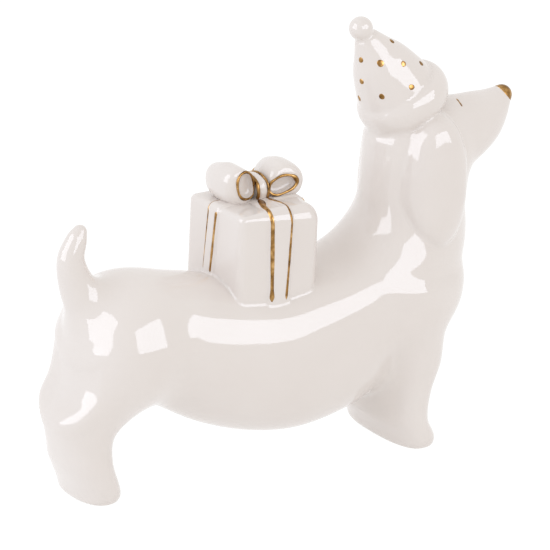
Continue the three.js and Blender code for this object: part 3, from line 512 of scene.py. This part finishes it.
def glazed_earthenware():
    """Dipped tin-white glaze over a pale clay: warm off-white, wet gloss, softly wavy where it ran, and
    bare biscuit under the soles."""
    material, tree = new_material("glazed_earthenware")
    place = add(tree, "ShaderNodeTexCoord").outputs["Object"]
    # Clouds of thicker and thinner glaze, about 30 mm across
    cloud = add(tree, "ShaderNodeTexNoise", {"Vector": place, "Scale": 33, "Detail": 2, "Roughness": 0.5})
    tone = add(tree, "ShaderNodeMix", {"Factor": cloud.outputs["Fac"], "A": linear(0xDFD6D0),
                                       "B": linear(0xE6DFDA)}, data_type="RGBA")
    # Biscuit shows on the lowest half millimetre
    height = add(tree, "ShaderNodeSeparateXYZ", {"Vector": place}).outputs["Z"]
    bare = add(tree, "ShaderNodeMapRange", {"Value": height, "From Min": 0.0007, "From Max": 0.0004})
    colour = add(tree, "ShaderNodeMix", {"Factor": bare.outputs["Result"], "A": tone.outputs["Result"],
                                         "B": linear(0xE3D6C3)}, data_type="RGBA")
    # Gloss varies by a hundredth or two, in patches of 6 mm
    patch = add(tree, "ShaderNodeTexNoise", {"Vector": place, "Scale": 160, "Detail": 1})
    gloss = add(tree, "ShaderNodeMapRange", {"Value": patch.outputs["Fac"], "To Min": 0.04, "To Max": 0.08})
    rough = add(tree, "ShaderNodeMix", {"Factor": bare.outputs["Result"], "A": gloss.outputs["Result"],
                                        "B": 0.9})
    # Runs of glaze: waves 12 mm long and some hundredths of a millimetre high, and ripples of 4 mm
    runs = add(tree, "ShaderNodeTexNoise", {"Vector": place, "Scale": 85, "Detail": 1, "Roughness": 0.4})
    ripple = add(tree, "ShaderNodeTexNoise", {"Vector": place, "Scale": 260, "Detail": 1})
    wave = add(tree, "ShaderNodeBump", {"Height": runs.outputs["Fac"], "Distance": 0.00006, "Strength": 1})
    skin_bump = add(tree, "ShaderNodeBump", {"Height": ripple.outputs["Fac"], "Distance": 0.000008,
                                             "Strength": 1, "Normal": wave.outputs["Normal"]})
    shader = add(tree, "ShaderNodeBsdfPrincipled", {
        "Base Color": colour.outputs["Result"], "Roughness": rough.outputs["Result"], "IOR": 1.52,
        "Normal": skin_bump.outputs["Normal"]})
    add(tree, "ShaderNodeOutputMaterial", {"Surface": shader.outputs["BSDF"]})
    return material


def gold_lustre():
    """Brushed-on resinate gold fired over the glaze: brown where it is thick, tan where it is thin, with
    a metal gloss that the brush left uneven."""
    material, tree = new_material("gold_lustre")
    place = add(tree, "ShaderNodeTexCoord").outputs["Object"]
    # Pools and thin places 3 mm apart
    pool = add(tree, "ShaderNodeTexNoise", {"Vector": place, "Scale": 330, "Detail": 3, "Roughness": 0.6})
    tone = add(tree, "ShaderNodeValToRGB", {"Fac": pool.outputs["Fac"]})
    ramp = tone.color_ramp
    ramp.elements[0].position, ramp.elements[0].color = 0.32, linear(0x6E4F29)
    ramp.elements[1].position, ramp.elements[1].color = 0.68, linear(0xC9A26B)
    middle = ramp.elements.new(0.5)
    middle.color = linear(0x9C7644)
    gloss = add(tree, "ShaderNodeMapRange", {"Value": pool.outputs["Fac"], "To Min": 0.2, "To Max": 0.42})
    # Brush marks a quarter of a millimetre apart
    hair = add(tree, "ShaderNodeTexNoise", {"Vector": place, "Scale": 2600, "Detail": 1})
    marks = add(tree, "ShaderNodeBump", {"Height": hair.outputs["Fac"], "Distance": 0.00002, "Strength": 0.6})
    shader = add(tree, "ShaderNodeBsdfPrincipled", {
        "Base Color": tone.outputs["Color"], "Metallic": 1.0, "Roughness": gloss.outputs["Result"],
        "Normal": marks.outputs["Normal"]})
    add(tree, "ShaderNodeOutputMaterial", {"Surface": shader.outputs["BSDF"]})
    return material


GLAZE, LUSTRE = glazed_earthenware(), gold_lustre()


def glazed(name, field, low, high, cell, node):
    """A white piece: the skin of its field, searched for between two corners."""
    corners, faces = skin(field, low, high, cell)
    shown(name, corners, faces.tolist(), GLAZE, "white_glaze", node)


def gilded(name, surface, node):
    """A gold piece from its corners and faces."""
    shown(name, *surface, LUSTRE, "gold_lustre", node)


# ---- White pieces ----

# The grid's step on the dog in millimetres, of which the small pieces take a share
fine = 1.0
glazed("dog_body", body_form, (-94, -29, -4.5), (98, 29, 128), fine, "body_casting")
glazed("dog_tail", lambda x, y, z: luted(tail_form(x, y, z), clay(x, y, z), 5, 3),
       (-93, -20, 45), (-55, 20, 96), fine * 0.7, "tail")
for side, hand in ((1, "left"), (-1, "right")):
    def ear_skin(x, y, z, side=side):
        """The flap run into the head, or into the brim where that lies over it."""
        flap, height = ear_form(x, y, z, side)
        return luted(flap, np.minimum(height, brim_form(x, y, z)), 1.6, 2)

    glazed(f"dog_ear_{hand}", ear_skin, (36, min(3, side * 32), 64), (73, max(-3, side * 32), 123),
           fine * 0.6, f"ear_{hand}")
glazed("party_hat_brim", lambda x, y, z: luted(brim_form(x, y, z), clay(x, y, z), 1.6, 2),
       (26, -21, 99), (75, 21, 135), fine * 0.6, "hat_brim")
glazed("party_hat_cone",
       lambda x, y, z: luted(cone_form(x, y, z), np.minimum(brim_form(x, y, z), clay(x, y, z)), 0.7, 2),
       (22, -20, 106), (68, 20, 150), fine * 0.6, "hat_cone")
glazed("party_hat_pompom", lambda x, y, z: luted(pompom_form(x, y, z), cone_form(x, y, z), 1.2, 2),
       (26, -7, 137), (41, 7, 152), fine * 0.35, "pompom")
glazed("gift_box_block", lambda x, y, z: luted(box_form(x, y, z), clay(x, y, z), BOX_BEAD, 2),
       (-32, -23, 46), (16, 23, 95), fine * 0.7, "gift_box")
RIBBON_BOXES = {"front": ((-5, -9, 48), (14, 9, 96)), "rear": ((-32, -9, 48), (-7, 9, 96)),
                "left": ((-18, -1, 46), (4, 22, 96)), "right": ((-18, -22, 46), (4, 1, 96))}
for arm, (low, high) in RIBBON_BOXES.items():
    glazed(f"gift_ribbon_{arm}",
           lambda x, y, z, arm=arm: luted(ribbon_form(x, y, z, arm), glazed_box(x, y, z), RIBBON_BEAD, 1),
           low, high, fine * 0.45, f"ribbon_{arm}")


# ---- Bow ----

def loop_ring(loop, puff, across):
    """One section of a loop: its eye outline swelled towards its full outline, shrunk about its foot on
    the far side, and carried across the bow by a width that is pinched towards the knot."""
    outline = np.array(loop["eye"]) + (np.array(loop["full"]) - np.array(loop["eye"])) * puff
    foot = np.array(loop["foot"])
    ring = foot + (centripetal_loop(outline, 64) - foot) * (1 - FAR_SHRINK * max(across, 0))
    half = BOW_WIDTH / 2 * (1 - BOW_PINCH * np.exp(-np.abs(ring[:, 0]) / PINCH_LENGTH))
    middle = BOW_NEAR_Y + BOW_WIDTH / 2
    return np.stack([BOW_X + ring[:, 0], middle + across * half, BOX_TOP + ring[:, 1]], 1)


def bow_loop(loop):
    """Rings from one eye to the other through the fullest middle, with each eye sunk to a shallow floor."""
    side = through([[0, 0, 1], [1, 0.4, 0.96], [2, 0.78, 0.8], [3, 0.95, 0.45], [4, 1, 0]])
    puff, across = side(np.linspace(0, 4, 17))
    puff, across = np.clip(puff, 0, 1), np.clip(across, 0, 1)
    near = [loop_ring(loop, p, -a) for p, a in zip(puff, across)]
    far = [loop_ring(loop, p, a) for p, a in zip(puff[-2::-1], across[-2::-1])]

    def floor_of(ring, inward):
        """The eye: the rim turned inwards over a small round, then a slanting wall to a dished floor."""
        middle = ring.mean(0)
        steps = [(0.97, 0.12), (0.93, 0.4), (0.9, 0.9), (0.86, 1.5), (0.78, 1.9), (0.55, 2.1), (0.25, 2.2)]
        return [middle + (ring - middle) * share + np.array([0, inward * depth, 0]) for share, depth in steps]

    rings = floor_of(near[0], 1)[::-1] + near + far + floor_of(far[-1], -1)
    return over_rings(np.array(rings))


def knot_arch(extra):
    """The knot's line over the bow, from its near foot to its far foot, moved out by extra."""
    near, far = KNOT_NEAR_Y, KNOT_FAR_Y
    top = (near + far) / 2
    rows = [[near + 1.2, 0], [near, 0.42], [near + 1.6, 0.84], [top, 1], [far - 1.6, 0.76], [far, 0.42],
            [far - 1.2, 0]]
    run = through([[i, *row] for i, row in enumerate(rows)])
    y, share = run(np.linspace(0, 6, 48))
    z = BOX_TOP + share * KNOT_HEIGHT
    line = np.stack([y, z], 1)
    ahead = unit(np.gradient(line, axis=0))
    return line + np.stack([-ahead[:, 1], ahead[:, 0]], 1) * extra


def knot():
    """The arch filled down to the box and carried across its width, its edges rounded off."""
    stations = np.linspace(-1, 1, 13)
    half = KNOT_WIDTH / 2
    rings = []
    for s in np.sin(stations * pi / 2):
        arch = knot_arch(-0.9 * (1 - np.sqrt(1 - 0.999 * s * s)))
        rings.append(np.stack([np.full(len(arch), BOW_X + s * half), arch[:, 0], arch[:, 1]], 1))
    return over_rings(np.array(rings))


shown("bow_knot_band", *knot(), GLAZE, "white_glaze", "bow_knot")
for end, loop in LOOPS.items():
    shown(f"bow_loop_{end}_puff", *bow_loop(loop), GLAZE, "white_glaze", f"bow_loop_{end}")
    for face, side in (("near", -1), ("far", 1)):
        rim = loop_ring(loop, 0.03, side) + np.array([0, side * 0.05, 0])
        s = np.linspace(0, 2 * pi, len(rim), endpoint=False)
        stroke, turn, spread = RIM_STROKES[end]
        radius = 0.46 + 0.06 * np.sin(5 * s + 1) + stroke * np.exp(-((s / (2 * pi) - turn) / spread) ** 2)
        gilded(f"lustre_eye_{end}_{face}", lustre_bead(rim, radius, True), f"lustre_loop_{end}_{face}")
for end, side in (("rear", -1), ("front", 1)):
    arch = knot_arch(-0.25)
    path = np.stack([np.full(len(arch), BOW_X + side * (KNOT_WIDTH / 2 + 0.1)), arch[:, 0], arch[:, 1]], 1)
    radius = brush(len(path), 0.55 - 0.12 * side, 7 + side)
    gilded(f"lustre_knot_{end}_line", lustre_bead(path, radius), f"lustre_knot_{end}")


# ---- Gold lustre ----

# The turn of a line's path at the box's rim and its length down the wall
RIM_TURN, WALL_DROP = 4, 36


def box_run(arm, offset, fall, pull, top):
    """Path along a ribbon's edge: out over the box top, round its rim and down its side, ending just above
    the dog's back; fall moves it across by the foot of the box, pull by the knot, and it starts below top."""
    hx, hy = RIBBON_ARMS[arm]
    begin = {"front": 12.5, "rear": 12.5, "left": KNOT_FAR_Y - RIBBON_Y + 0.5, "right": 2.8}[arm]
    wall = (BOX_SIDE / 2 + (BOX_X - RIBBON_X) * hx) if hx else BOX_SIDE / 2 - RIBBON_Y * hy
    bend = np.linspace(0.1, pi / 2, 10)
    out = np.concatenate([np.linspace(begin, wall - RIM_TURN, 20), wall - RIM_TURN + RIM_TURN * np.sin(bend),
                          np.full(60, wall)])
    z = BOX_TOP + np.concatenate([np.zeros(20), -RIM_TURN + RIM_TURN * np.cos(bend),
                                  -RIM_TURN - np.linspace(0.5, WALL_DROP, 60)])
    lean = BOX_LEAN * (z - BOX_TOP)
    drop = -np.tan(radians(REAR_RIBBON_LEAN)) * (z - BOX_TOP) if arm == "rear" else 0 * z
    across = offset + fall * (BOX_TOP - z) / WALL_DROP + pull * np.exp(-((out - begin) / 5) ** 2)
    x = RIBBON_X + lean + hx * out + (across if hx == 0 else 0)
    y = RIBBON_Y + hy * out + ((across + drop) if hx else 0)
    path = np.stack([x, y, z], 1)

    def field(x, y, z):
        return blend(ribbon_form(x, y, z, arm), glazed_box(x, y, z), RIBBON_BEAD)

    path = settle(field, path, 3)
    keep = (clay(*path.T) > 0.8) & (path[:, 2] < top)
    path = path[keep]
    run = np.concatenate([[0], np.cumsum(np.linalg.norm(np.diff(path, axis=0), axis=1))])
    even = np.linspace(0, run[-1], 90)
    path = np.stack([np.interp(even, run, path[:, a]) for a in range(3)], 1)
    return settle(field, path, 2), field


# Each line: its half width, how far it falls and is pulled across, and its swelling at the knot and the foot.
# Three lines begin below the box's rim, and the others on its top.
LINES = {("right", "a"): (0.72, 0.8, 2, 0.9, 0.4), ("right", "b"): (0.5, -1, -1.4, 0.3, 0),
         ("rear", "a"): (0.6, 1, 0, 0, 0), ("rear", "b"): (0.4, 1.2, 0, 0, 0)}
UNDER_RIM = (("rear", "a"), ("front", "a"), ("front", "b"))
for n, arm in enumerate(RIBBON_ARMS):
    for m, (edge, inward) in enumerate((("a", 0.65), ("b", -0.65))):
        width, fall, pull, at_knot, at_foot = LINES.get((arm, edge), (0.55, 0, 0, 0, 0))
        top = BOX_TOP - 1 if (arm, edge) in UNDER_RIM else BOX_TOP + 2
        path, field = box_run(arm, RIBBON_EDGES[arm][m] + inward, fall, pull, top)
        run = np.linspace(0, 1, len(path))
        near_knot, near_foot = np.exp(-((run - 0.1) / 0.09) ** 2), np.exp(-((run - 0.96) / 0.04) ** 2)
        half = brush(len(path), width, 20 + 2 * n + m) * (1 + at_knot * near_knot + at_foot * near_foot)
        gilded(f"lustre_ribbon_{arm}_{edge}", lustre_line(path, half, field), f"lustre_{arm}_{edge}")


def lustre_dot(turn, height, radius):
    """Round drop on the cone: rings of a disc drawn onto the skin and lifted to a low dome."""
    a, tilt = radians(turn), radians(HAT_TILT)
    r = hat_radius(height)[0]
    local = np.array([r * cos(a), r * sin(a), height])
    c, s = cos(tilt), sin(tilt)
    centre = np.array([HAT_SEAT[0] + c * local[0] - s * local[2], local[1],
                       HAT_SEAT[2] + s * local[0] + c * local[2]])
    centre = settle(cone_form, centre[None], 3)[0]
    out = unit(slope_of(cone_form, centre[None])[0])
    side = unit(np.cross(out, np.array([0.2, 0.1, 1])))
    up = np.cross(out, side)
    share = np.sin(np.linspace(0.12, pi / 2, 7))
    phi = np.linspace(0, 2 * pi, 28, endpoint=False)
    wobble = 1 + 0.05 * np.sin(2 * phi + turn) + 0.03 * np.sin(3 * phi + height)
    disc = share[:, None, None] * wobble[None, :, None] * radius * (
        np.cos(phi)[None, :, None] * side + np.sin(phi)[None, :, None] * up) + centre
    seat = settle(cone_form, disc.reshape(-1, 3), 2)
    normal = unit(slope_of(cone_form, seat)).reshape(disc.shape)
    seat = seat.reshape(disc.shape)
    top = seat + normal * (0.18 * np.sqrt(1 - 0.98 * share ** 2))[:, None, None]
    under = (seat - normal * LUSTRE_ROOT)[::-1]
    return over_rings(np.concatenate([top, under]))


for i, (turn, height) in enumerate(DOTS):
    gilded(f"lustre_dot_{i + 1}", lustre_dot(turn, height, 1.2 if i == 0 else 1.0), f"hat_dot_{i + 1}")


def nose_cap():
    """Lustre over the nose: polar rings round the tip, drawn onto the skin and lifted a little."""
    tilt = radians(NOSE_CAP_TILT)
    axis = np.array([cos(tilt), 0, sin(tilt)])
    across, over = np.array([0, 1.0, 0]), np.array([-sin(tilt), 0, cos(tilt)])
    centre = np.array([MUZZLE_ROWS[-1][0], 0, MUZZLE_ROWS[-1][1]])
    phi = np.linspace(0, 2 * pi, 48, endpoint=False)[None, :, None]
    polar = np.linspace(0.05, 1, 16)[:, None, None] * np.radians(88 + 5 * np.cos(phi * 2))
    ray = np.cos(polar) * axis + np.sin(polar) * (np.cos(phi) * across + np.sin(phi) * over)
    seat = settle(clay, (centre + 3 * ray).reshape(-1, 3), 3).reshape(ray.shape)
    normal = unit(slope_of(clay, seat.reshape(-1, 3))).reshape(ray.shape)
    rim = 0.14 * np.sqrt(np.linspace(1, 0, 16))[:, None, None]
    return over_rings(np.concatenate([seat + normal * (rim + 0.01), (seat - normal * 0.25)[::-1]]))


gilded("lustre_nose", nose_cap(), "nose_lustre")
for side, hand in ((1, "left"), (-1, "right")):
    share = np.linspace(0, 1, 24)[:, None]
    seen = np.array(LASH_START) + share * (np.array(LASH_END) - np.array(LASH_START))
    path = np.stack([seen[:, 0], side * seen[:, 1], np.full(24, 122.0)], 1)
    for _ in range(80):  # let down onto the skin from above
        path[:, 2] -= 0.8 * clay(*path.T)
    gilded(f"lustre_lash_{hand}", lustre_line(path, brush(24, 0.3, 3), clay, 0.12), f"lash_{hand}")


# ---- Camera, floor and light ----

def aimed(obj, place, target):
    """Puts an object at a place, looking at a target."""
    obj.location = place
    obj.rotation_euler = (Vector(target) - Vector(place)).to_track_quat("-Z", "Y").to_euler()
    bpy.context.scene.collection.objects.link(obj)


# A long lens, whose place and view were worked out from the outline in the photograph
AZIMUTH, ELEVATION, DISTANCE = radians(-30.4), radians(19.2), 1.8
TARGET = Vector((ROW_SHIFT[0] * MM, 0, (63.3 + ROW_SHIFT[2]) * MM))
lens = bpy.data.cameras.new("photo_lens")
lens.lens, lens.sensor_width = 347.6, 36
lens.clip_start, lens.clip_end = 0.1, 50
camera = bpy.data.objects.new("photo_camera", lens)
back = Vector((sin(AZIMUTH) * cos(ELEVATION), -cos(AZIMUTH) * cos(ELEVATION), sin(ELEVATION)))
aimed(camera, TARGET + back * DISTANCE, TARGET)
bpy.context.scene.camera = camera


def white_rays(tree):
    """1 for the rays that see the background, also through a gloss or glass, and 0 for those that light."""
    ray = add(tree, "ShaderNodeLightPath")
    seen = add(tree, "ShaderNodeMath", {0: ray.outputs["Is Camera Ray"], 1: ray.outputs["Is Glossy Ray"]},
               operation="MAXIMUM")
    return add(tree, "ShaderNodeMath", {0: seen.outputs[0], 1: ray.outputs["Is Transmission Ray"]},
               operation="MAXIMUM").outputs[0]


floor_mesh = bpy.data.meshes.new("studio_floor")
floor_mesh.from_pydata([(-4, -4, 0), (4, -4, 0), (4, 4, 0), (-4, 4, 0)], [], [(0, 1, 2, 3)])
floor = bpy.data.objects.new("studio_floor", floor_mesh)
bpy.context.scene.collection.objects.link(floor)
paper, tree = new_material("white_paper")
lit = add(tree, "ShaderNodeBsdfDiffuse", {"Color": linear(0xF2F2F2)})
glow = add(tree, "ShaderNodeEmission", {"Color": linear(0xFFFFFF), "Strength": 1.1})
seen = add(tree, "ShaderNodeMapRange", {"Value": white_rays(tree), "To Min": 0.35, "To Max": 0.9})
both = add(tree, "ShaderNodeMixShader", {0: seen.outputs["Result"], 1: lit.outputs[0], 2: glow.outputs[0]})
add(tree, "ShaderNodeOutputMaterial", {"Surface": both.outputs[0]})
floor_mesh.materials.append(paper)

world = bpy.data.worlds.new("studio_air")
bpy.context.scene.world = world
world.use_nodes = True
tree = world.node_tree
tree.nodes.clear()
level = add(tree, "ShaderNodeMapRange", {"Value": white_rays(tree), "To Min": 0.97, "To Max": 1.0})
air = add(tree, "ShaderNodeBackground", {"Color": linear(0xFFFFFF), "Strength": level.outputs["Result"]})
add(tree, "ShaderNodeOutputWorld", {"Surface": air.outputs[0]})


def softbox(name, azimuth, elevation, wide, tall, radiance, colour, gloss=True):
    """Big soft panel 1.5 m from the dog, given by its bearing and by the angles that it fills. It lights
    either the gloss or the colour, whose main light is the even air of the room."""
    lamp = bpy.data.lights.new(name, "AREA")
    lamp.color = linear(colour)[:3]
    distance, a, e = 1.5, radians(azimuth), radians(elevation)
    lamp.shape = "RECTANGLE"
    lamp.size, lamp.size_y = (2 * distance * float(np.tan(radians(angle / 2))) for angle in (wide, tall))
    lamp.energy = radiance * lamp.size * lamp.size_y * pi
    panel = bpy.data.objects.new(name, lamp)
    panel.visible_diffuse, panel.visible_glossy = not gloss, gloss
    middle = Vector((0, 0, 0.07))
    aimed(panel, middle + distance * Vector((cos(e) * cos(a), cos(e) * sin(a), sin(e))), middle)


softbox("softbox_right", -74, 26, 62, 34, 4.4, 0xEAF1FF)
softbox("softbox_left", 172, 24, 45, 46, 4.0, 0xF0F4FF)
softbox("fill_left", 165, 25, 60, 60, 0.6, 0xDCEAFF, False)
softbox("fill_right", -80, 20, 60, 60, 0.15, 0xFFF6EE, False)

bpy.context.scene.view_settings.view_transform = "Standard"
